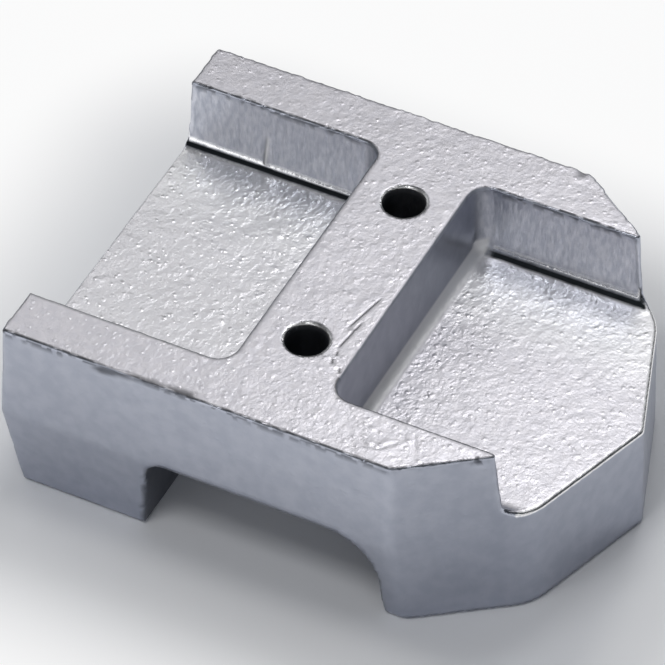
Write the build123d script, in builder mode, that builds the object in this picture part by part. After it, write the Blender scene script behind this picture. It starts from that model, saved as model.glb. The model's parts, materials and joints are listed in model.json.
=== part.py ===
import os
from math import radians, tan

from build123d import *

# Sacrificial anode: one zinc casting, bolted down through two cast holes in its web.
# X runs from the tail to the pointed nose, Y along the line of the bolts, and Z up.
# The origin is in the middle of the base, on the plane that the two feet stand on.

# Overall sizes, taken where the two halves of the mould meet, at the roof of the channel
tail_reach = 44.8  # from the bolt line back to the tail
nose_reach = 50.6  # from the bolt line forward to the point of the nose
width = 74.0
height = 34.5

# Plan of the nose: two straight cheeks run in to the shoulders, and a blunt point lies ahead
cheek_length = 18.4
shoulder_width = 47.5
point_length = 8.2

# Corners of the outline
tail_corner = 0.8
cheek_corner = 4.0
shoulder_corner = 10.0
point_corner = 1.2

# Draft of the outer walls in degrees; below the mould joint the tail and the sides lean back in
tail_draft = 3.2
side_draft = 1.0
nose_draft = 1.5
tail_foot_draft = 8.2
side_foot_draft = 5.0

# The two pockets on top, the web between them and the arms beside them, measured at the top
web_width = 17.4
tail_arm = 9.6
nose_arm = 10.5
pocket_depth = 13.5
pocket_draft = 3.0
floor_blend = 2.2  # radius where the pocket walls meet the floor
corner_extra = 0.4  # how much larger than that the corners of the floor are in plan

# The channel under the web, measured at its roof from the bolt line
foot_height = 16.0
channel_back = 18.6
channel_front = 21.0
channel_draft = 4.5
back_blend = 3.5
front_blend = 9.0

# Bolt holes
bolt_spacing = 34.4
hole_diameter = 7.0

# Edges of the casting, rounded by the mould and by handling
tip_round = 0.7
top_round = 0.6
base_round = 0.6
rim_chamfer = 0.4

# Places that follow from the sizes above
bolt_x = (tail_reach - nose_reach - foot_height * tan(radians(nose_draft))) / 2
tail_x = bolt_x - tail_reach
nose_x = bolt_x + nose_reach
shoulder_x = nose_x - point_length
cheek_x = shoulder_x - cheek_length
floor_z = height - pocket_depth
overrun = width  # how far a mould core runs on past the casting


def lean(drop, angle):
    """How far a wall drafted by an angle moves sideways over a drop."""
    return drop * tan(radians(angle))


def block_plan(level, tail_in=0.0, side_in=0.0, nose_out=0.0):
    """Outline of the block at one level, with its tail and sides moved in and its nose moved out."""
    cheek_slope = (width - shoulder_width) / 2 / cheek_length
    side_y = width / 2 - side_in
    shoulder_y = shoulder_width / 2
    cheek_start = cheek_x + nose_out + side_in / cheek_slope
    outline = [
        ((tail_x + tail_in, -side_y), tail_corner),
        ((cheek_start, -side_y), cheek_corner),
        ((shoulder_x + nose_out, -shoulder_y), shoulder_corner),
        ((nose_x + nose_out, 0), point_corner),
        ((shoulder_x + nose_out, shoulder_y), shoulder_corner),
        ((cheek_start, side_y), cheek_corner),
        ((tail_x + tail_in, side_y), tail_corner),
    ]
    with BuildSketch(Plane.XY.offset(level)) as plan:
        with BuildLine():
            FilletPolyline(*[point for point, _ in outline], radius=[r for _, r in outline], close=True)
        make_face()
    return plan.sketch


def pocket_core(wall_x, away, arm):
    """The core that leaves one pocket; it starts at the web and runs away past the tail or the nose."""
    top_half_width = width / 2 - lean(height - foot_height, side_draft) - arm
    far_x = wall_x + away * overrun
    corner = floor_blend + corner_extra + lean(pocket_depth, pocket_draft)
    with BuildPart() as core:
        with BuildSketch(Plane.XY.offset(height)):
            with BuildLine():
                FilletPolyline(
                    (far_x, -top_half_width),
                    (wall_x, -top_half_width),
                    (wall_x, top_half_width),
                    (far_x, top_half_width),
                    radius=[0, corner, corner, 0],
                    close=True,
                )
            make_face()
        extrude(amount=-pocket_depth, taper=pocket_draft)
        fillet(core.edges().group_by(Axis.Z)[0], floor_blend)
    return core.part


def channel_core():
    """The core that leaves the channel: drafted walls, a tight blend at the back, a wide one in front."""
    back_x = bolt_x - channel_back
    front_x = bolt_x + channel_front
    spread = lean(2 * foot_height, channel_draft)
    with BuildPart() as core:
        with BuildSketch(Plane.XZ):
            with BuildLine():
                FilletPolyline(
                    (back_x - spread, -foot_height),
                    (back_x, foot_height),
                    (front_x, foot_height),
                    (front_x + spread, -foot_height),
                    radius=[0, back_blend, front_blend, 0],
                    close=True,
                )
            make_face()
        extrude(amount=overrun, both=True)
    return core.part


def tip_edges(block):
    """The two upright edges where the nose arms run out to a point beside the cheeks."""
    upright = block.edges().filter_by(
        lambda edge: edge.bounding_box().min.Z > floor_z and edge.bounding_box().size.Z > pocket_depth / 2
    )
    return upright.sort_by(Axis.X)[-2:]


# A rounding along an edge has to be smaller than the corners that the edge turns round
sharpest_corner = 0.85 * min(tail_corner, point_corner)
top_edge_round = min(top_round, sharpest_corner, 0.85 * tip_round)
base_edge_round = min(base_round, sharpest_corner)

rise = height - foot_height
joint_plan = block_plan(foot_height)
top_plan = block_plan(height, lean(rise, tail_draft), lean(rise, side_draft), -lean(rise, nose_draft))
base_plan = block_plan(
    0,
    lean(foot_height, tail_foot_draft),
    lean(foot_height, side_foot_draft),
    lean(foot_height, nose_draft),
)

with BuildPart() as anode_block:
    loft([joint_plan, top_plan], ruled=True)
    loft([base_plan, joint_plan], ruled=True)
    add(pocket_core(bolt_x - web_width / 2, -1, tail_arm), mode=Mode.SUBTRACT)
    add(pocket_core(bolt_x + web_width / 2, 1, nose_arm), mode=Mode.SUBTRACT)
    add(channel_core(), mode=Mode.SUBTRACT)
    with Locations((bolt_x, 0, height)):
        with GridLocations(0, bolt_spacing, 1, 2):
            Hole(hole_diameter / 2)
    rims = anode_block.edges().group_by(Axis.Z)[-1].filter_by(lambda edge: edge.is_closed)
    chamfer(rims, rim_chamfer)
    fillet(tip_edges(anode_block), tip_round)
    fillet(anode_block.edges().group_by(Axis.Z)[-1].filter_by(lambda edge: not edge.is_closed), top_edge_round)
    fillet(anode_block.edges().group_by(Axis.Z)[0], base_edge_round)

os.makedirs("parts", exist_ok=True)
anode_block.part.label = "anode_block"
export_step(anode_block.part, "parts/anode_block.step")
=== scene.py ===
# %% [markdown] A sacrificial anode is a block of cast zinc that is bolted under a boat and left to corrode
# in place of the boat's own metal. This lesson dresses one. The solid comes from CAD: its sizes are right,
# but its faces are perfect, and a real casting's are not. A bump map alone would leave the outline and the
# edges perfect, so here the block gets a new skin with the relief in its mesh, and a material fitted to that
# skin.

# %% Load the frame
import json

import bmesh
import bpy
import numpy as np
from mathutils import Matrix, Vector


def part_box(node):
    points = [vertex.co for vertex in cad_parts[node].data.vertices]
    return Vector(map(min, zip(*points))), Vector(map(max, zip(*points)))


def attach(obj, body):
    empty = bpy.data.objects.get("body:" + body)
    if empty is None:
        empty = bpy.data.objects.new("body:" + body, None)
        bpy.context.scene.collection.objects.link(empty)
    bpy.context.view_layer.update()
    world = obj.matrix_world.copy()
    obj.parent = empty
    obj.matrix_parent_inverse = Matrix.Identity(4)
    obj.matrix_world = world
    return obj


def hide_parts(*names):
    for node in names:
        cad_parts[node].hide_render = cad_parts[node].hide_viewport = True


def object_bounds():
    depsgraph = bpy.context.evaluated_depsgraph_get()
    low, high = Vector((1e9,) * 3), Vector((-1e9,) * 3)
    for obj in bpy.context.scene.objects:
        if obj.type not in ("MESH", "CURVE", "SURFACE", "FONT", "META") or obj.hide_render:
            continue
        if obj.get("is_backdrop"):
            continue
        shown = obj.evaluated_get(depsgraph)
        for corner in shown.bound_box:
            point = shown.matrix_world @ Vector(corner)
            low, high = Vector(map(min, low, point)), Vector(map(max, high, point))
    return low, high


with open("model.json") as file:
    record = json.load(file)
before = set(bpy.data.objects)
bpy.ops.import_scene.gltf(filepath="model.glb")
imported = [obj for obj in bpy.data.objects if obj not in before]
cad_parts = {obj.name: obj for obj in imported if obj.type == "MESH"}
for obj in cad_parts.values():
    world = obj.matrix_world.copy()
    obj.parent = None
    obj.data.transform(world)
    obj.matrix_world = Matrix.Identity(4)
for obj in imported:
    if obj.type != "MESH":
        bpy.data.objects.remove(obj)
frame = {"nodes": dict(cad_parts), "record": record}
cad_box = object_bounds()
MM = 0.001
print("nodes:", sorted(frame["nodes"]), "box:", [[round(v, 4) for v in corner] for corner in cad_box])

# %% [markdown]
# The plan of the block is measured from its bolt line, which the record gives as a mount.
# Sizes below are in millimetres, and a place on the block is given by how far it is ahead of
# that line, how far to the left of the middle, and how high above the base. They could all be measured
# on the mesh, but named values read better. The record doesn't give every size, so those of the web,
# the pockets and the channel are repeated here from the CAD.

# %% Where things are on the block
mounts = {mount["name"]: mount for mount in frame["record"]["mounts"]}
BOLT_X = mounts["bolt_holes"]["pos_m"][0] / MM
HOLE_RADIUS = mounts["bolt_holes"]["dims"]["hole_r_mm"]
BOLT_SPACING = mounts["bolt_holes"]["dims"]["spacing_y_mm"]
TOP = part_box("anode_block")[1].z / MM
FLOOR = TOP - 13.5
WEB_HALF = 8.7
TAIL_POCKET_HALF = 27.08
NOSE_POCKET_HALF = 26.18
POCKET_CORNER = 3.3
CHANNEL_ROOF = 16.0
CHANNEL_BACK = -18.6
CHANNEL_DRAFT = 4.5
print("bolt line at x =", round(BOLT_X, 2), "mm, top at", round(TOP, 2), "and floors at", round(FLOOR, 2))

# %% [markdown]
# The camera stands where the photographer stood: well back with a long lens, at 45 degrees down.
# A long lens keeps parallel edges nearly parallel, which is how a catalogue picture looks.
# It could be aimed by eye, but these values come from a fit to the block's own corners. The
# camera looks near the middle of the bolt line and is then moved a little sideways and down.

# %% Camera
AZIMUTH = 27.04
ELEVATION = 45.27
ROLL = -0.46
DISTANCE = 825.56
SIDEWAYS = 3.71
LIFT = 10.04
FOCAL_PIXELS = 5235.9
PICTURE_PIXELS = 665
SENSOR = 36.0


def camera_axes(azimuth, elevation, roll):
    """Right, up and back of a camera, as unit vectors; azimuth 0 looks along +Y.

    Back is (sin a cos e, -cos a cos e, sin e), right is (cos a, sin a, 0) and up is back cross right;
    the roll then turns right and up in their own plane.
    """
    a, e, r = np.radians([azimuth, elevation, roll])
    back = np.array([np.sin(a) * np.cos(e), -np.cos(a) * np.cos(e), np.sin(e)])
    right = np.array([np.cos(a), np.sin(a), 0.0])
    up = np.cross(back, right)
    return right * np.cos(r) + up * np.sin(r), up * np.cos(r) - right * np.sin(r), back


def pose(axes, place):
    """The matrix that stands a thing at a place, in metres, with its own X, Y and Z along three axes."""
    matrix = np.eye(4)
    matrix[:3, :3] = np.stack(axes, axis=1)
    matrix[:3, 3] = place
    return Matrix(matrix.tolist())


right, up, back = camera_axes(AZIMUTH, ELEVATION, ROLL)
aim = np.array([BOLT_X, 0.0, TOP])
eye = aim + back * DISTANCE - right * SIDEWAYS - up * LIFT
camera_data = bpy.data.cameras.new("camera")
camera_data.sensor_width = SENSOR
camera_data.lens = FOCAL_PIXELS / PICTURE_PIXELS * SENSOR
camera_data.clip_end = 20.0
camera = bpy.data.objects.new("camera", camera_data)
bpy.context.scene.collection.objects.link(camera)
camera.matrix_world = pose([right, up, back], eye * MM)
bpy.context.scene.camera = camera
print("lens", round(camera_data.lens, 1), "mm, camera at", np.round(eye * MM, 3))

# %% [markdown]
# Cast metal shows its surroundings, so the light matters as much as the material. One big lamp would leave
# the metal flat. A tent of soft panels half a metre away gives each side of the block its own tone.
# The brightest hang above the block and are mirrored in its flat top and its pocket floors.
# The left side of the tent is open overhead, and that gap draws the dark line
# along every rounded edge. The world adds only a faint cool fill.

# %% Light
TENT_RADIUS = 0.5
FILL_COLOUR = (0.85, 0.92, 1.0, 1.0)
FILL_STRENGTH = 0.06
# Each panel: its name, azimuth and elevation, the width and height of its view in degrees, and its radiance
TENT = [
    ("back_high", 187, 65, 40, 14, 6.5),
    ("front_high", 347, 65, 40, 14, 6.6),
    ("left", 237, 37, 30, 14, 2.2),
    ("left_front", 267, 37, 30, 14, 1.45),
    ("back", 177, 37, 30, 14, 1.1),
    ("right_high", 107, 65, 40, 14, 0.85),
    ("front_right_high", 27, 65, 40, 14, 0.6),
    ("back_right_high", 147, 65, 40, 14, 0.85),
    ("back_left_middle", 207, 51, 30, 14, 0.5),
    ("back_left", 207, 37, 30, 14, 0.35),
    ("back_middle", 177, 51, 30, 14, 0.35),
    ("front_middle", 340, 37, 60, 14, 0.25),
    ("front_low", 340, 12, 60, 24, 1.1),
    ("right_low", 45, 20, 60, 24, 0.7),
    ("back_right", 143, 33, 30, 20, 0.4),
]


def softbox(name, azimuth, elevation, wide, high, radiance):
    """A rectangular panel of the tent that faces the block; azimuth 0 stands in front, at -Y.

    Its height is twice the tent's radius times the tangent of half its angle, its width is that times
    the cosine of the elevation, and its power is radiance times pi times its area, so that a panel of
    radiance 1 looks white in a mirror.
    """
    a, e = np.radians([azimuth, elevation])
    away = np.array([np.sin(a) * np.cos(e), -np.cos(a) * np.cos(e), np.sin(e)])
    data = bpy.data.lights.new(name, "AREA")
    data.shape = "RECTANGLE"
    data.size = 2 * TENT_RADIUS * np.tan(np.radians(wide / 2)) * np.cos(e)
    data.size_y = 2 * TENT_RADIUS * np.tan(np.radians(high / 2))
    data.energy = radiance * np.pi * data.size * data.size_y
    lamp = bpy.data.objects.new(name, data)
    bpy.context.scene.collection.objects.link(lamp)
    side = np.cross([0.0, 0.0, 1.0], away)
    side /= np.linalg.norm(side)
    lamp.matrix_world = pose([side, np.cross(away, side), away], away * TENT_RADIUS)
    lamp.visible_camera = False


for panel in TENT:
    softbox(*panel)

world = bpy.data.worlds.new("studio")
world.use_nodes = True
world.node_tree.nodes["Background"].inputs["Color"].default_value = FILL_COLOUR
world.node_tree.nodes["Background"].inputs["Strength"].default_value = FILL_STRENGTH
bpy.context.scene.world = world
bpy.context.scene.view_settings.view_transform = "Standard"

# %% [markdown]
# A material is a small machine of nodes, and wiring it by hand takes four lines a node. This helper
# has one short word for each kind of node, so that a finish reads like a recipe. Its patterns all use the
# object's own coordinates or weights that the mesh carries, so they stay put from every side.

# %% Shader helper
class Shader:
    """A material's nodes, with a short word for each kind of node that the lesson uses."""

    def __init__(self, name):
        self.material = bpy.data.materials.new(name)
        self.material.use_nodes = True
        self.nodes = self.material.node_tree.nodes
        self.surface = self.nodes["Principled BSDF"]
        self.place = self.nodes.new("ShaderNodeTexCoord").outputs["Object"]

    def feed(self, value, socket):
        """Gives a socket a number, a colour or another node's output."""
        if isinstance(value, (int, float)):
            socket.default_value = value
        elif isinstance(value, tuple):
            socket.default_value = (*value, 1.0)
        else:
            self.material.node_tree.links.new(value, socket)

    def reckon(self, operation, first, second):
        """One sum on two values, such as first plus second, or the larger of the two."""
        node = self.nodes.new("ShaderNodeMath")
        node.operation = operation
        self.feed(first, node.inputs[0])
        self.feed(second, node.inputs[1])
        return node.outputs["Value"]

    def spread(self, source, low, high, start=0.0, end=1.0, smooth=False):
        """low + (high - low) times how far the source is on its way from start to end, held at both ends."""
        node = self.nodes.new("ShaderNodeMapRange")
        node.interpolation_type = "SMOOTHSTEP" if smooth else "LINEAR"
        self.feed(source, node.inputs["Value"])
        for name, value in [("From Min", start), ("From Max", end), ("To Min", low), ("To Max", high)]:
            self.feed(value, node.inputs[name])
        return node.outputs["Result"]

    def mix(self, weight, first, second):
        """first times (1 - weight) plus second times weight, for colours."""
        node = self.nodes.new("ShaderNodeMix")
        node.data_type = "RGBA"
        self.feed(weight, node.inputs["Factor"])
        self.feed(first, node.inputs[6])
        self.feed(second, node.inputs[7])
        return node.outputs[2]

    def grain(self, size_mm, detail, stretch=None):
        """Noise from 0 to 1 with grains about size_mm wide, drawn out along each axis by the stretch."""
        node = self.nodes.new("ShaderNodeTexNoise")
        node.inputs["Scale"].default_value = 1000.0 / size_mm
        node.inputs["Detail"].default_value = detail
        vector = self.place
        if stretch:
            mapping = self.nodes.new("ShaderNodeMapping")
            mapping.inputs["Scale"].default_value = [1 / s for s in stretch]
            self.feed(vector, mapping.inputs["Vector"])
            vector = mapping.outputs["Vector"]
        self.feed(vector, node.inputs["Vector"])
        return node.outputs["Fac"]

    def dots(self, apart_mm, share):
        """Round dots, one in each cell of a lattice: 1 in the middle, 0 from that share of it outwards."""
        node = self.nodes.new("ShaderNodeTexVoronoi")
        node.inputs["Scale"].default_value = 1000.0 / apart_mm
        self.feed(self.place, node.inputs["Vector"])
        return self.spread(node.outputs["Distance"], 1.0, 0.0, 0.0, share, True)

    def weight(self, name):
        """A weight from 0 to 1 that the mesh carries on its corners."""
        node = self.nodes.new("ShaderNodeAttribute")
        node.attribute_name = name
        return node.outputs["Fac"]


print("words for nodes:", [word for word in vars(Shader) if not word.startswith("_")])

# %% [markdown]
# The floor is one large plain sheet, pale enough to pass for the white paper of a product picture.
# More light would whiten it, but would wash out the zinc too. So close to the block it is plain matt
# paint that keeps the shadow, and further out it glows towards white. That glow is painted light, and
# since it is weak next to the block, it also lays a painted shade round the block beside its real shadow.
# The glow is only there for rays that look at the floor, straight or mirrored in the metal, so that it
# doesn't light the scene by itself.

# %% Floor
REACH = 6.0
GLOW_NEAR = 0.16
GLOW_NEAR_END = 8 * MM
GLOW_FAR = 0.76
GLOW_FAR_START = 5 * MM
GLOW_FAR_END = 42 * MM

floor_mesh = bpy.data.meshes.new("floor")
corners = [(-REACH, -REACH, 0.0), (REACH, -REACH, 0.0), (REACH, REACH, 0.0), (-REACH, REACH, 0.0)]
floor_mesh.from_pydata(corners, [], [(0, 1, 2, 3)])
floor = bpy.data.objects.new("floor", floor_mesh)
bpy.context.scene.collection.objects.link(floor)

paper = Shader("floor_paint")
paper.feed((0.87, 0.885, 0.92), paper.surface.inputs["Base Color"])
paper.feed(0.9, paper.surface.inputs["Roughness"])
print("floor is", 2 * REACH, "m wide")

# %% Distance from the block, and the floor's glow
half_block = [max(-cad_box[0][axis], cad_box[1][axis]) for axis in range(2)]
apart = paper.nodes.new("ShaderNodeSeparateXYZ")
paper.feed(paper.place, apart.inputs["Vector"])
gaps = []
for axis, name in enumerate("XY"):
    inside = paper.reckon("SUBTRACT", paper.reckon("ABSOLUTE", apart.outputs[name], 0.0), half_block[axis])
    outside = paper.reckon("MAXIMUM", inside, 0.0)
    gaps.append(paper.reckon("MULTIPLY", outside, outside))
distance = paper.reckon("SQRT", paper.reckon("ADD", *gaps), 0.0)
rays = paper.nodes.new("ShaderNodeLightPath").outputs
mirrored = paper.reckon("MAXIMUM", rays["Is Glossy Ray"], rays["Is Transmission Ray"])
looking = paper.reckon("MAXIMUM", rays["Is Camera Ray"], mirrored)
# Painted shade round the block: the glow is weak near the block and full from GLOW_FAR_END outwards
near_glow = paper.spread(distance, 0.0, GLOW_NEAR, 0.0, GLOW_NEAR_END, True)
far_glow = paper.spread(distance, 0.0, GLOW_FAR, GLOW_FAR_START, GLOW_FAR_END, True)
pale = paper.reckon("ADD", near_glow, far_glow)
glow = paper.nodes.new("ShaderNodeEmission")
blended = paper.nodes.new("ShaderNodeMixShader")
paper.feed(paper.reckon("MULTIPLY", looking, pale), blended.inputs[0])
paper.feed(paper.surface.outputs["BSDF"], blended.inputs[1])
paper.feed(glow.outputs["Emission"], blended.inputs[2])
paper.feed(blended.outputs["Shader"], paper.nodes["Material Output"].inputs["Surface"])
floor_mesh.materials.append(paper.material)
floor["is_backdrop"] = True
print("floor is palest from", round(GLOW_FAR_END / MM), "mm outwards")

# %% [markdown]
# The solid from CAD is exact, but its triangles are long and thin, and no relief can be pushed into them.
# It could be subdivided, but long triangles only give more long triangles. So a copy of it is merged,
# wrapped in an even net of small squares and drawn back onto the true surface. The squares are halved
# where the skin has its relief, and once more along its top edges.

# %% A net of squares over the solid
NET = 0.79
cad_node = frame["nodes"]["anode_block"]


def merged_copy(name):
    """A copy of the CAD node with its loose triangles joined at their corners."""
    mesh = cad_node.data.copy()
    mesh.name = name
    work = bmesh.new()
    work.from_mesh(mesh)
    bmesh.ops.remove_doubles(work, verts=work.verts, dist=1e-6)
    work.to_mesh(mesh)
    work.free()
    copy = bpy.data.objects.new(name, mesh)
    bpy.context.scene.collection.objects.link(copy)
    return copy


def bake_modifiers(piece):
    """Replaces a piece's mesh by what its modifiers make of it, and takes the modifiers off."""
    seen = piece.evaluated_get(bpy.context.evaluated_depsgraph_get())
    mesh = bpy.data.meshes.new_from_object(seen)
    piece.modifiers.clear()
    piece.data = mesh


def draw_onto(piece, target):
    """Moves every corner of a piece to the nearest point of the target's surface."""
    wrap = piece.modifiers.new("wrap", "SHRINKWRAP")
    wrap.target = target
    wrap.wrap_method = "NEAREST_SURFACEPOINT"
    bake_modifiers(piece)


guide = merged_copy("guide")
skin = merged_copy("anode_skin")
net = skin.modifiers.new("net", "REMESH")
net.mode = "VOXEL"
net.voxel_size = NET * MM
bake_modifiers(skin)
draw_onto(skin, guide)
print("even net:", len(skin.data.polygons), "squares of", NET, "mm")

# %% Places and normals as arrays
def read_vectors(owner, field):
    """One three-number field of a mesh collection, as an array with a row per element."""
    flat = np.empty(len(owner) * 3)
    owner.foreach_get(field, flat)
    return flat.reshape(-1, 3)


def on_block(points):
    """Metres as millimetres ahead of the bolt line, left of the middle and up: points / MM - bolt line."""
    return points / MM - [BOLT_X, 0.0, 0.0]


def refine(piece, pick):
    """Halves every edge of the faces that pick(place, normal) chooses; their neighbours are split to suit."""
    mesh = piece.data
    centres = on_block(read_vectors(mesh.polygons, "center"))
    chosen = pick(centres, read_vectors(mesh.polygons, "normal"))
    work = bmesh.new()
    work.from_mesh(mesh)
    work.faces.ensure_lookup_table()
    edges = {edge for index in np.flatnonzero(chosen) for edge in work.faces[index].edges}
    bmesh.ops.subdivide_edges(work, edges=list(edges), cuts=1, use_grid_fill=True)
    work.to_mesh(mesh)
    work.free()
    draw_onto(piece, guide)


print("faces look up most at", round(read_vectors(skin.data.polygons, "normal")[:, 2].max(), 3))

# %% Where the net is finer
def near_chip(place):
    """The upper strip of the near side that is chipped: 22 mm long and 3 mm high."""
    return (abs(place[:, 0] + 18.5) < 11.0) & (place[:, 1] < -34.5) & (place[:, 2] > TOP - 3.0)


def near_bead(place):
    """The strip of the tail pocket's far wall that carries an upright bead, about 2.5 mm wide."""
    return (abs(place[:, 0] + 29.6) < 1.3) & (abs(place[:, 1] - 27.0) < 1.2) & (place[:, 2] > FLOOR)


def open_faces(place, normal):
    """The top, the pocket floors and their blends, the bead and the chip."""
    on_top = place[:, 2] > TOP - 1.2
    by_floor = (abs(place[:, 2] - FLOOR - 1.0) < 1.9) & (normal[:, 2] > 0.12)
    return on_top | by_floor | near_bead(place) | near_chip(place)


def fine_faces(place, normal):
    """The rounded top edges, the scratched strip of the web, and the bead."""
    x, y, z = place.T
    on_top = z > TOP - 0.75
    edge = on_top & (normal[:, 2] < 0.97)
    scratched = on_top & (abs(x - 5.8) < 2.0) & (abs(y + 12.5) < 10.0)
    return edge | scratched | near_bead(place)


refine(skin, open_faces)
refine(skin, fine_faces)
skin_mesh = skin.data
triangles = sum(len(face.vertices) - 2 for face in skin_mesh.polygons)
print("refined net:", len(skin_mesh.vertices), "corners,", triangles, "triangles")

# %% [markdown]
# A casting copies the skin of its mould: sand grains, gas pimples and the ripples of cooling metal.
# They could be sculpted or come from a picture, but then they would stretch or show a seam. Here all of
# them are heights above the smooth solid, in millimetres, worked out from noise that is fixed in space,
# so the pattern runs on round corners, and every run of the lesson gives the same block.

# %% Noise fixed in space
def lattice_value(ix, iy, iz, seed):
    """A number between 0 and 1 for each lattice point.

    Its three whole numbers and the seed are each multiplied by a large odd number and added up. The sum's
    upper bits are then folded over its lower bits and the result multiplied, twice, which scatters them.
    """
    n = (ix * 374761393 + iy * 668265263 + iz * 1442695041 + seed * 1274126177) & 0xFFFFFFFF
    n = ((n ^ (n >> 13)) * 1274126177) & 0xFFFFFFFF
    n = ((n ^ (n >> 15)) * 2246822519) & 0xFFFFFFFF
    return (n ^ (n >> 16)) / 4294967295.0


def soft_noise(place, size, seed):
    """Noise from -1 to 1 with bumps about one size wide.

    It blends the values at the eight lattice points round a place, each weighted along every axis by
    6 t^5 - 15 t^4 + 10 t^3, where t is how far the place is towards that point.
    """
    scaled = place / size
    cell = np.floor(scaled).astype(np.int64)
    part = scaled - cell
    blend = part * part * part * (part * (part * 6 - 15) + 10)
    total = np.zeros(len(place))
    for corner in np.ndindex(2, 2, 2):
        weight = np.prod(np.where(corner, blend, 1 - blend), axis=1)
        total += weight * lattice_value(*(cell + corner).T, seed)
    return total * 2 - 1


def pimples(place, cell_size, chance, radius, height, seed):
    """Round bumps, one in some cells of a lattice: each is height times (1 - (distance / radius)^2)^2."""
    scaled = place / cell_size
    cell = np.floor(scaled).astype(np.int64)
    relief = np.zeros(len(place))
    for corner in np.ndindex(3, 3, 3):
        home = cell + corner - 1
        keys = home.T
        centre = home + np.stack([lattice_value(*keys, seed + k) for k in range(3)], axis=1)
        size = radius[0] + (radius[1] - radius[0]) * lattice_value(*keys, seed + 3)
        tall = height[0] + (height[1] - height[0]) * lattice_value(*keys, seed + 4) ** 2
        there = lattice_value(*keys, seed + 5) < chance
        far = np.linalg.norm((scaled - centre) * cell_size, axis=1) / size
        relief = np.maximum(relief, there * tall * np.clip(1 - far * far, 0, None) ** 2)
    return relief


place = on_block(read_vectors(skin_mesh.vertices, "co"))
normal = read_vectors(skin_mesh.vertex_normals, "vector")
print("noise sample:", np.round(soft_noise(place[:4], 3.0, 1), 3))

# %% Ramps, bells and ovals
x, y, z = place.T  # how far a corner is ahead of the bolt line, to the left and up
nx, ny, nz = normal.T  # how far its face looks ahead, to the left and up


def ramp(value, start, end):
    """3 t^2 - 2 t^3, where t goes from 0 at start to 1 at end and is held at both."""
    t = np.clip((value - start) / (end - start), 0, 1)
    return t * t * (3 - 2 * t)


def band(value, start, full, end, gone):
    """A ramp up from start to full, times 1 minus a ramp from end to gone."""
    return ramp(value, start, full) * (1 - ramp(value, end, gone))


def bell(distance, half):
    """e to the power of minus (distance / half) squared: 1 on a line, and 0.37 at half beside it."""
    return np.exp(-((distance / half) ** 2))


def oval(ahead, left, length, width):
    """An oval patch in plan: e to the power of minus (dx / length) squared minus (dy / width) squared."""
    return np.exp(-(((x - ahead) / length) ** 2) - ((y - left) / width) ** 2)


print("corners of the net within 1 mm of the top:", int((z > TOP - 1).sum()))

# %% [markdown]
# Faces that lay open to the mould's top are pimpled, and the drafted sides slid out of it almost smooth.
# The faces could be picked by hand, but a weight from 0 to 1 on each corner, worked out from its place and
# from where it looks, blends softly round the edges. The relief and the finish both use these weights.

# %% Which skin is where
# A face is open to the mould's top where its normal is nearly upright, so nz is near 1
in_pocket = z < TOP - 5
facing_up = ramp(nz, 0.80, 0.985)
open_skin = facing_up * ramp(z, FLOOR - 2.0, FLOOR - 0.5)
pocket_wall = ramp(z, FLOOR, FLOOR + 1.5) * (1 - facing_up) * ramp(TOP - z, 0.3, 1.5)
pocket_wall *= ramp(29.0 - abs(y), 0.0, 1.0) * ramp(-np.sign(y) * ny, 0.4, 0.8)
foot_blend = ramp(nz, 0.1, 0.3) * (1 - facing_up) * (1 - ramp(z, FLOOR + 1.8, FLOOR + 2.4))
foot_blend *= ramp(z, FLOOR - 0.6, FLOOR - 0.2)
top_edge = ramp(z, TOP - 1.0, TOP - 0.6) * ramp(nz, 0.15, 0.5) * ramp(1 - nz, 0.01, 0.08)
print("open skin on", int((open_skin > 0.5).sum()), "corners, top edges on", int((top_edge > 0.5).sum()))

# %% Pimples and ripples
flow = place * [1.0, 0.7, 1.0]
skin_relief = 0.030 * soft_noise(place, 7.0, 11) + 0.018 * soft_noise(flow, 2.4, 12)
skin_relief += 0.013 * soft_noise(flow, 1.1, 13)
skin_relief += pimples(place, 1.6, 0.6, (0.38, 0.65), (0.03, 0.13), 20)
side_relief = 0.012 * soft_noise(place, 5.0, 14) + 0.003 * soft_noise(place, 1.9, 15)
streaks = 0.016 * soft_noise(place * [1.0, 1.0, 0.15], 0.9, 16) * ramp(TOP - z, 3.0, 8.0)
streaks += 0.012 * soft_noise(place, 2.0, 17)
edge_relief = 0.12 * soft_noise(place, 1.5, 18) + 0.07 * soft_noise(place, 0.7, 19)
print("tallest pimple", round(skin_relief.max(), 3), "mm, edges ragged by", round(edge_relief.max(), 3), "mm")

# %% Where the skin is rougher or calmer
rough_end = oval(20.0, -31.0, 9.0, 6.0)
calm_end = ramp(-x, 22.0, 32.0) * ramp(-y, 24.0, 27.0)
calm_floor = oval(29.0, -1.0, 9.0, 11.0) * in_pocket
nose_busy = (0.8 * bell(x - 14.0, 5.0) * ramp(-y, -18.0, -8.0) + 0.5 * ramp(y, 10.0, 22.0)) * (x > 0)
tail_busy = 1.6 * (x < -12) * (1 - 0.45 * ramp(y, 14.0, 22.0))
busy_floor = (nose_busy + tail_busy) * in_pocket
calm_rim = (abs(x) < 10.5) & (abs(y) < 26) | (y < 0) & (y > -31)

amount = 1 + 0.9 * rough_end - 0.6 * calm_end - 0.6 * calm_floor + 0.5 * busy_floor
relief = open_skin * amount * skin_relief + (1 - open_skin) * side_relief
relief += pocket_wall * streaks + top_edge * (1 - 0.75 * calm_rim) * edge_relief
print("relief from", round(relief.min(), 3), "to", round(relief.max(), 3), "mm")
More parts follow.
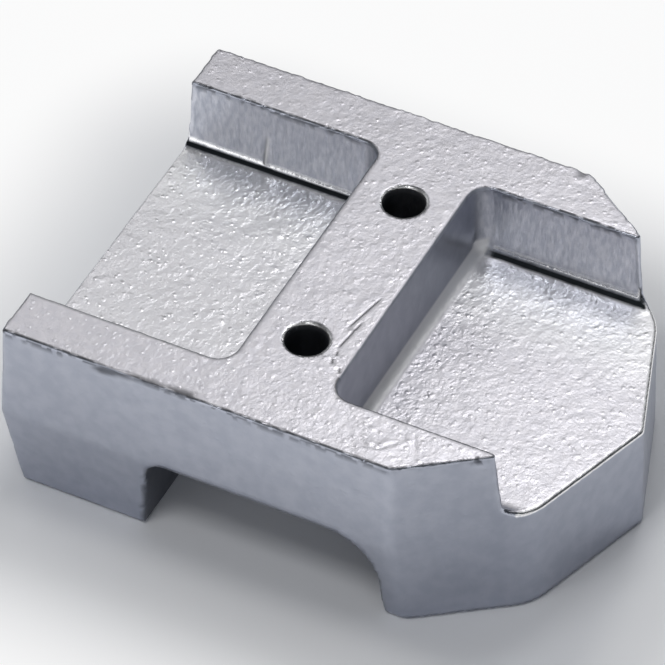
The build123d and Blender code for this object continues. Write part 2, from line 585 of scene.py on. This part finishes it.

# %% [markdown]
# Knocks and casting faults make this block the one in the picture. They could be modelled as small
# pieces of their own, but a dent belongs to the skin. So each is a small shape function that is added to the
# relief: a groove along a line, a chip, a nick, a raised bead or a wrinkle. A knock also adds to the
# dark weight, which the finish turns into dark matt metal.

# %% Scratches and pits on the web
def along(start, end):
    """For each corner: its distance from a line, and how far along the line it is, from 0 to 1.

    That share is (corner - start) . span / |span|^2, with span = end - start. The distance is measured
    to the point start + share times span, with the share held between 0 and 1.
    """
    start, end = np.array(start, float), np.array(end, float)
    span = end - start
    used = place[:, :len(start)]
    share = (used - start) @ span / (span @ span)
    near = start + np.clip(share, 0, 1)[:, None] * span
    return np.linalg.norm(used - near, axis=1), share


def most(*weights):
    """The largest of several weights at each corner."""
    return np.maximum.reduce(weights)


# Each scratch or pit: its two ends, its depth and its half width
SCRATCHES = [
    ((4.7, -12.2), (6.5, -4.0), 0.09, 0.28),
    ((5.3, -16.8), (6.2, -10.0), 0.08, 0.28),
    ((5.5, -17.4), (5.8, -18.4), 0.08, 0.3),
    ((5.6, -19.2), (5.9, -20.2), 0.10, 0.35),
    ((7.4, -20.6), (7.9, -21.6), 0.09, 0.35),
]
on_top = ramp(z, TOP - 0.4, TOP - 0.1)
marks = np.zeros(len(place))
# This weight carries both grime and painted shade; the finish turns it nearly black
soot = np.zeros(len(place))
for start, end, deep, half in SCRATCHES:
    off, share = along(start, end)
    stroke = on_top * ramp(share, -0.08, 0.15) * ramp(-share, -1.08, -0.85)
    marks -= stroke * deep * bell(off, half)
    soot = most(soot, 0.85 * stroke * bell(off, 0.17))
print("deepest scratch", round(-marks.min(), 2), "mm")

# %% Wrinkles of the near arm, and the bead
WRINKLES = [
    ((16.7, -32.1), (18.1, -33.6)),
    ((18.1, -33.6), (20.5, -33.2)),
    ((20.5, -33.2), (22.4, -31.0)),
    ((24.2, -28.4), (25.6, -31.2)),
]
for start, end in WRINKLES:
    off, share = along(start, end)
    fold = on_top * ramp(share, -0.15, 0.0) * ramp(-share, -1.15, -1.0)
    marks += fold * (0.05 * bell(off - 0.55, 0.35) - 0.09 * bell(off, 0.30))
off, share = along((-29.3, 27.1, TOP - 5.6), (-29.85, 26.4, TOP - 12.3))
bead = bell(off, 0.38) * ramp(share, -0.05, 0.25) * ramp(-share, -1.05, -0.95) * (y < 29)
marks += 0.32 * bead
print("bead stands", round(marks.max(), 2), "mm proud")

# %% Chipped front edge, arm tip and nicked corner
chip_run = ramp(x, -28.5, -26.0) * ramp(-x, 8.0, 11.0)
past_edge = (TOP - z) - (y + 36.7)  # grows from the top over the near edge and down the side
chip_line = np.interp(x, [-27.0, -19.0, -10.0], [1.2, 0.0, -0.5])
chip = chip_run * np.exp(-(((past_edge - chip_line) / 0.95) ** 4)) * (y < -34.6) * (z > TOP - 3.2)
marks -= chip * (0.20 + 0.16 * soft_noise(place * [0.6, 1.0, 1.0], 0.9, 50))
soot = most(soot, 0.7 * chip * ramp(soft_noise(place * [0.35, 1.3, 1.3], 0.8, 51), -0.75, 0.15))
tip = oval(35.0, -28.4, 1.3, 0.9) * (z > TOP - 1.5)
marks -= 0.15 * tip
soot = most(soot, 0.8 * tip * ramp(soft_noise(place, 0.6, 53), -0.4, 0.2))
nick = oval(22.6, 36.2, 0.8, 0.9) * (z > TOP - 2.0)
marks -= 0.3 * nick
soot = most(soot, 0.5 * nick)
print("the chip covers", int((chip > 0.5).sum()), "corners and is", round(-marks.min(), 2), "mm deep")

# %% [markdown]
# Most of this darkening is painted shade: a black line in the crease at the foot of the far walls, the
# dark holes and channel, and broken dashes of painted dark reflection on the rounded edges. Painted
# highlights and worn places are lighter. The dark could be a thin extra mesh, but a weight on the skin is
# enough, and the finish turns it into dark matt metal. Where each crease lies is read from the way its
# blend faces, so it follows every corner.

# %% Painted dark reflection along the top edges
to_front = -ny
# Painted dark reflection: broken dark dashes along the rounded top edges, dark spots on the lower part of the
# front-facing edges, and a line on the edges that look back
dashes = 0.35 + 0.65 * ramp(soft_noise(place, 1.4, 52), -0.35, 0.15)
edge_band = ramp(z, TOP - 0.9, TOP - 0.6) * band(to_front, 0.08, 0.22, 0.72, 0.90)
on_cheek = ramp(abs(nx), 0.10, 0.30)
soot = most(soot, 0.8 * edge_band * dashes * (1 - 0.72 * on_cheek))
spots = ramp(soft_noise(place, 0.9, 54), -0.15, 0.30)
painted_edge_spots = band(TOP - z, 0.3, 0.5, 0.8, 1.2) * ramp(to_front, 0.7, 0.9) * spots
soot = most(soot, 0.55 * painted_edge_spots * (1 - 0.7 * on_cheek))
left_edge = ramp(z, TOP - 0.9, TOP - 0.6) * band(-nx, 0.04, 0.20, 0.8, 0.95)
soot = most(soot, 0.55 * left_edge)
print("edge grime on", int((soot > 0.3).sum()), "corners")

# %% Soft lines round the pockets
def rim_line(wall, away, half_width):
    """A soft line just outside a pocket's rounded outline, strongest 0.35 mm from it.

    Both distances past the straight walls are shortened by the corner's radius. Where both are positive
    their hypotenuse counts, otherwise the larger one, and the radius is taken off again.
    """
    past_wall = away * (wall - x) + POCKET_CORNER
    past_arm = abs(y) - half_width + POCKET_CORNER
    outside = np.hypot(np.maximum(past_wall, 0), np.maximum(past_arm, 0))
    outside += np.minimum(np.maximum(past_wall, past_arm), 0) - POCKET_CORNER
    return bell(outside - 0.35, 0.32)


# Painted dark reflection: a soft dark line on the rounded rims of both pockets
tail_line = rim_line(-WEB_HALF, -1, TAIL_POCKET_HALF) * (y < 25.5)
nose_line = rim_line(WEB_HALF, 1, NOSE_POCKET_HALF) * (y < -22.5)
soot = most(soot, 0.5 * (z > TOP - 0.8) * most(tail_line, nose_line))
print("pocket lines on", int((most(tail_line, nose_line) > 0.5).sum()), "corners")

# %% Painted shade in the creases at the foot of the far walls
by_far_foot = (z < FLOOR + 2.4) & (z > FLOOR - 0.5) & (y > 18)
# Painted shade: a black line in the crease where each far wall meets its floor
tail_crease_shade = by_far_foot * (x < 0) * band(to_front, 0.42, 0.55, 0.80, 0.86)
nose_crease_shade = by_far_foot * ramp(x, 10.5, 12.5) * band(to_front, 0.32, 0.46, 0.77, 0.83)
soot = most(soot, tail_crease_shade, nose_crease_shade)
print("dark seams on", int((most(tail_crease_shade, nose_crease_shade) > 0.5).sum()), "corners")

# %% Painted shade in the holes and the channel
from_hole = np.hypot(x, abs(y) - BOLT_SPACING / 2)
# Painted shade: the bores, the channel's walls, and ragged patches on the foot's front beside the channel's
# back wall are darkened
bore = (from_hole < HOLE_RADIUS + 0.12) * ramp(TOP - z, 0.5, 1.3)
in_channel = (z < CHANNEL_ROOF + 0.3) * (abs(ny) < 0.6) * (abs(nz) < 0.97) * band(x, -20.6, -20.4, 22.4, 22.6)
ragged = ramp(36.4 - abs(y) + 0.5 * soft_noise(place, 1.5, 55), 0.0, 0.7)
# How far a corner is behind the channel's back wall, which leans out by its draft
behind_wall = CHANNEL_BACK - (CHANNEL_ROOF - z) * np.tan(np.radians(CHANNEL_DRAFT)) - x
on_foot = (y < -30) & (ny < -0.5) & (behind_wall > -1.5) & (x < 0)
channel_edge_shade = ramp(0.75 - behind_wall + 0.75 * soft_noise(place, 1.1, 56), 0.0, 0.6) * ramp(15.0 - z, 0.0, 2.0)
soot = most(soot, 0.8 * bore, 0.6 * in_channel * ragged, 0.42 * on_foot * channel_edge_shade)
print("all grime on", int((soot > 0.5).sum()), "corners")

# %% Painted highlights and worn metal
# Painted highlights: a light line above each far-wall crease, the nose floor's rim, the web's foot blend and
# the hole rims. The pocket floors get painted light that grows towards the far walls, and the bead is lighter
# too.
highlight_above_crease = by_far_foot * (abs(x) > 12) * band(to_front, 0.83, 0.87, 0.94, 0.98)
nose_rim = (x > 40) * band(z, FLOOR - 1.0, FLOOR - 0.6, FLOOR + 0.2, FLOOR + 0.4)
nose_rim = nose_rim * band(nz, 0.1, 0.3, 0.96, 0.995)
web_foot = (z < FLOOR + 2.6) & (z > FLOOR - 0.5) & (x > 5) & (x < 16) & (abs(y) < 29)
foot_light = 0.9 * web_foot * band(nx, 0.15, 0.35, 0.93, 0.99)
tail_painted_light = (x < 0) * (0.38 + 0.45 * ramp(y, 5.0, 22.0))
nose_painted_light = (x > 0) * 0.7 * ramp(y, 4.0, 18.0)
floor_painted_light = open_skin * in_pocket * (tail_painted_light + nose_painted_light)
hole_rim = (from_hole > HOLE_RADIUS - 0.1) & (from_hole < HOLE_RADIUS + 0.7) & (z > TOP - 0.7)
rubbed = most(highlight_above_crease, bead, nose_rim, foot_light, floor_painted_light, hole_rim * ramp(1 - nz, 0.05, 0.2))
print("rubbed bright on", int((rubbed > 0.5).sum()), "corners")

# %% Dull blends of the web
web_front = (x > 7.0) & (x < 10.5) & (abs(y) < 29)
dull_foot = web_foot * band(nx, 0.05, 0.20, 0.95, 0.995)
dull_edge = web_front * ramp(z, TOP - 1.0, TOP - 0.8) * band(nx, 0.05, 0.20, 0.96, 0.995)
dull = most(dull_foot, dull_edge)
polish = most(foot_blend, top_edge) * (1 - dull)
print("dull on", int((dull > 0.5).sum()), "corners, polished on", int((polish > 0.5).sum()))

# %% [markdown]
# Now the skin is finished. A displace modifier could move it, but it would need a picture or a texture.
# Here each corner moves along its own normal by its relief. The whole skin first sinks by a little more
# than its pimples stand out, so that the dressed block stays inside the box of the solid, but less so in
# the holes, which keep their size. The weights go onto the mesh as attributes, for the finish to read.

# %% Finished relief
SKIN_DEPTH = 0.13
in_hole = (from_hole < HOLE_RADIUS + 0.3) * (z < TOP - 0.2)
sunk = SKIN_DEPTH * (1 - 0.9 * in_hole)
relief += marks
moved = place + normal * (relief - sunk)[:, None]
points = (moved + [BOLT_X, 0.0, 0.0]) * MM
points = np.clip(points, np.array(cad_box[0]), np.array(cad_box[1]))
skin_mesh.vertices.foreach_set("co", points.ravel())
skin_mesh.polygons.foreach_set("use_smooth", np.ones(len(skin_mesh.polygons), bool))

coarse = np.clip(busy_floor, 0, 1) * open_skin
for name, weight in [
    ("open_skin", open_skin),
    ("polish", polish),
    ("soot", soot),
    ("pocket_wall", pocket_wall),
    ("rubbed", rubbed),
    ("dull", dull),
    ("coarse", coarse),
]:
    skin_mesh.attributes.new(name, "FLOAT", "POINT").data.foreach_set("value", weight)
skin_mesh.update()
bpy.data.objects.remove(guide)
print("skin lies", SKIN_DEPTH, "mm under the solid, and its relief goes from",
      round(relief.min(), 2), "to", round(relief.max(), 2), "mm")

# %% [markdown]
# As-cast zinc is a pale, slightly blue metal. One plain metal would make the block look like foil, because
# a casting is known by how its tone breaks up. So the colour has three skins: mottled and bluish on the
# drafted sides, streaked on the pocket walls, and bright with faint flecks where the mould was open.
# Worn places and painted highlights are lighter, and grime and painted shade are nearly black.
# The tones of the sides and the pocket walls are also set for the light they reflect: the darker
# drafted sides carry painted shade and the lighter pocket walls painted light.

# %% Zinc: colour
zinc = Shader("cast_zinc")
metal = zinc.surface
zinc.feed(1.0, metal.inputs["Metallic"])
opened, polished, streaked = map(zinc.weight, ["open_skin", "polish", "pocket_wall"])
# bright carries worn places and painted highlights, and dark carries grime and painted shade
bright, dark, sandy, blunt = map(zinc.weight, ["rubbed", "soot", "coarse", "dull"])

mottle = zinc.spread(zinc.grain(2.4, 4.0), 0.0, 1.0, 0.36, 0.64)
# Darker than the open skin, partly as painted shade on the drafted sides
side_colour = zinc.mix(mottle, (0.416, 0.440, 0.513), (0.463, 0.485, 0.557))
speckle = zinc.spread(zinc.grain(0.75, 2.0, (1.0, 1.0, 2.5)), 0.0, 1.0, 0.36, 0.64)
# Lighter than the sides, partly as painted light on the pocket walls
wall_colour = zinc.mix(speckle, (0.535, 0.559, 0.634), (0.690, 0.705, 0.770))
fleck = zinc.spread(zinc.grain(1.2, 2.0), 0.0, 1.0, 0.40, 0.62)
open_colour = zinc.mix(fleck, (0.724, 0.711, 0.757), (0.770, 0.753, 0.794))
# The colour for worn places and painted highlights
WEAR_AND_HIGHLIGHT_COLOUR = (0.960, 0.960, 0.970)
# The colour for grime and for painted shade
GRIME_AND_SHADE_COLOUR = (0.016, 0.019, 0.022)

drafted_colour = zinc.mix(streaked, side_colour, wall_colour)
# Painted highlights are mixed in first, then grime and painted shade on top
colour_before_shade_and_grime = zinc.mix(bright, zinc.mix(opened, drafted_colour, open_colour), WEAR_AND_HIGHLIGHT_COLOUR)
zinc.feed(zinc.mix(dark, colour_before_shade_and_grime, GRIME_AND_SHADE_COLOUR), metal.inputs["Base Color"])
print("colour takes", len(zinc.nodes), "nodes")

# %% [markdown]
# The gloss is that of metal straight from a mould: soft, a little sharper where handling has polished an
# edge, and blurred by grime or on the dull blends of the web. Roughness could be one number, but then
# every pimple would carry the same highlight, so a slow grain moves it up and down by a few hundredths.

# %% Zinc: gloss
SIDE_ROUGHNESS = 0.34
OPEN_ROUGHNESS = 0.42
uneven = zinc.spread(zinc.grain(2.0, 2.0), -0.04, 0.04, 0.3, 0.7)
rough = zinc.reckon("ADD", zinc.spread(opened, SIDE_ROUGHNESS, OPEN_ROUGHNESS), uneven)
blurred = zinc.reckon("ADD", zinc.spread(blunt, 0.0, 0.25), zinc.spread(dark, 0.0, 0.3))
rough = zinc.reckon("ADD", rough, blurred)
zinc.feed(zinc.reckon("SUBTRACT", rough, zinc.spread(polished, 0.0, 0.12)), metal.inputs["Roughness"])
print("roughness from", SIDE_ROUGHNESS, "on the sides to", OPEN_ROUGHNESS, "on the open skin")

# %% [markdown]
# Grains finer than the net's squares are left to a bump. Under the open skin lies sand with a few round
# dots, and the pocket walls have faint upright drag marks from the pattern that was lifted out of the mould.
# A bump only tilts the light, so it is kept for what is too small to change the outline.

# %% Zinc: fine sand and drag marks
SAND_HEIGHT = 0.14 * MM
coarse_grain = zinc.grain(1.3, 2.0, (1.0, 1.2, 1.0))
fine_grain = zinc.reckon("MULTIPLY", zinc.grain(0.55, 1.0), 0.35)
round_dots = zinc.reckon("MULTIPLY", zinc.dots(1.5, 0.34), 0.55)
sand = zinc.reckon("ADD", zinc.reckon("ADD", coarse_grain, fine_grain), round_dots)
drag = zinc.grain(0.8, 2.0, (1.0, 1.0, 4.0))
strength = zinc.reckon("ADD", zinc.spread(opened, 0.16, 0.6), zinc.spread(streaked, 0.0, 0.7))
strength = zinc.reckon("ADD", strength, zinc.spread(sandy, 0.0, 0.38))
bump = zinc.nodes.new("ShaderNodeBump")
bump.inputs["Distance"].default_value = SAND_HEIGHT
zinc.feed(strength, bump.inputs["Strength"])
zinc.feed(zinc.mix(streaked, sand, drag), bump.inputs["Height"])
zinc.feed(bump.outputs["Normal"], metal.inputs["Normal"])
print("zinc is made of", len(zinc.nodes), "nodes, and its sand stands", round(SAND_HEIGHT / MM, 2), "mm")

# %% [markdown] The finished skin takes the place of the bare solid.

# %% The skin in the solid's place
skin_mesh.materials.clear()
skin_mesh.materials.append(zinc.material)
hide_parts("anode_block")
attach(skin, "root")
print(skin.name, "stands for anode_block in", zinc.material.name)

# %% [markdown] A dressed part has to keep the size of its solid.

# %% Finish
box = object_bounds()
past = [max(cad_box[0][i] - box[0][i], box[1][i] - cad_box[1][i]) / MM for i in range(3)]
print("the skin goes past the solid's box by", [round(max(side, 0.0), 2) for side in past], "mm")
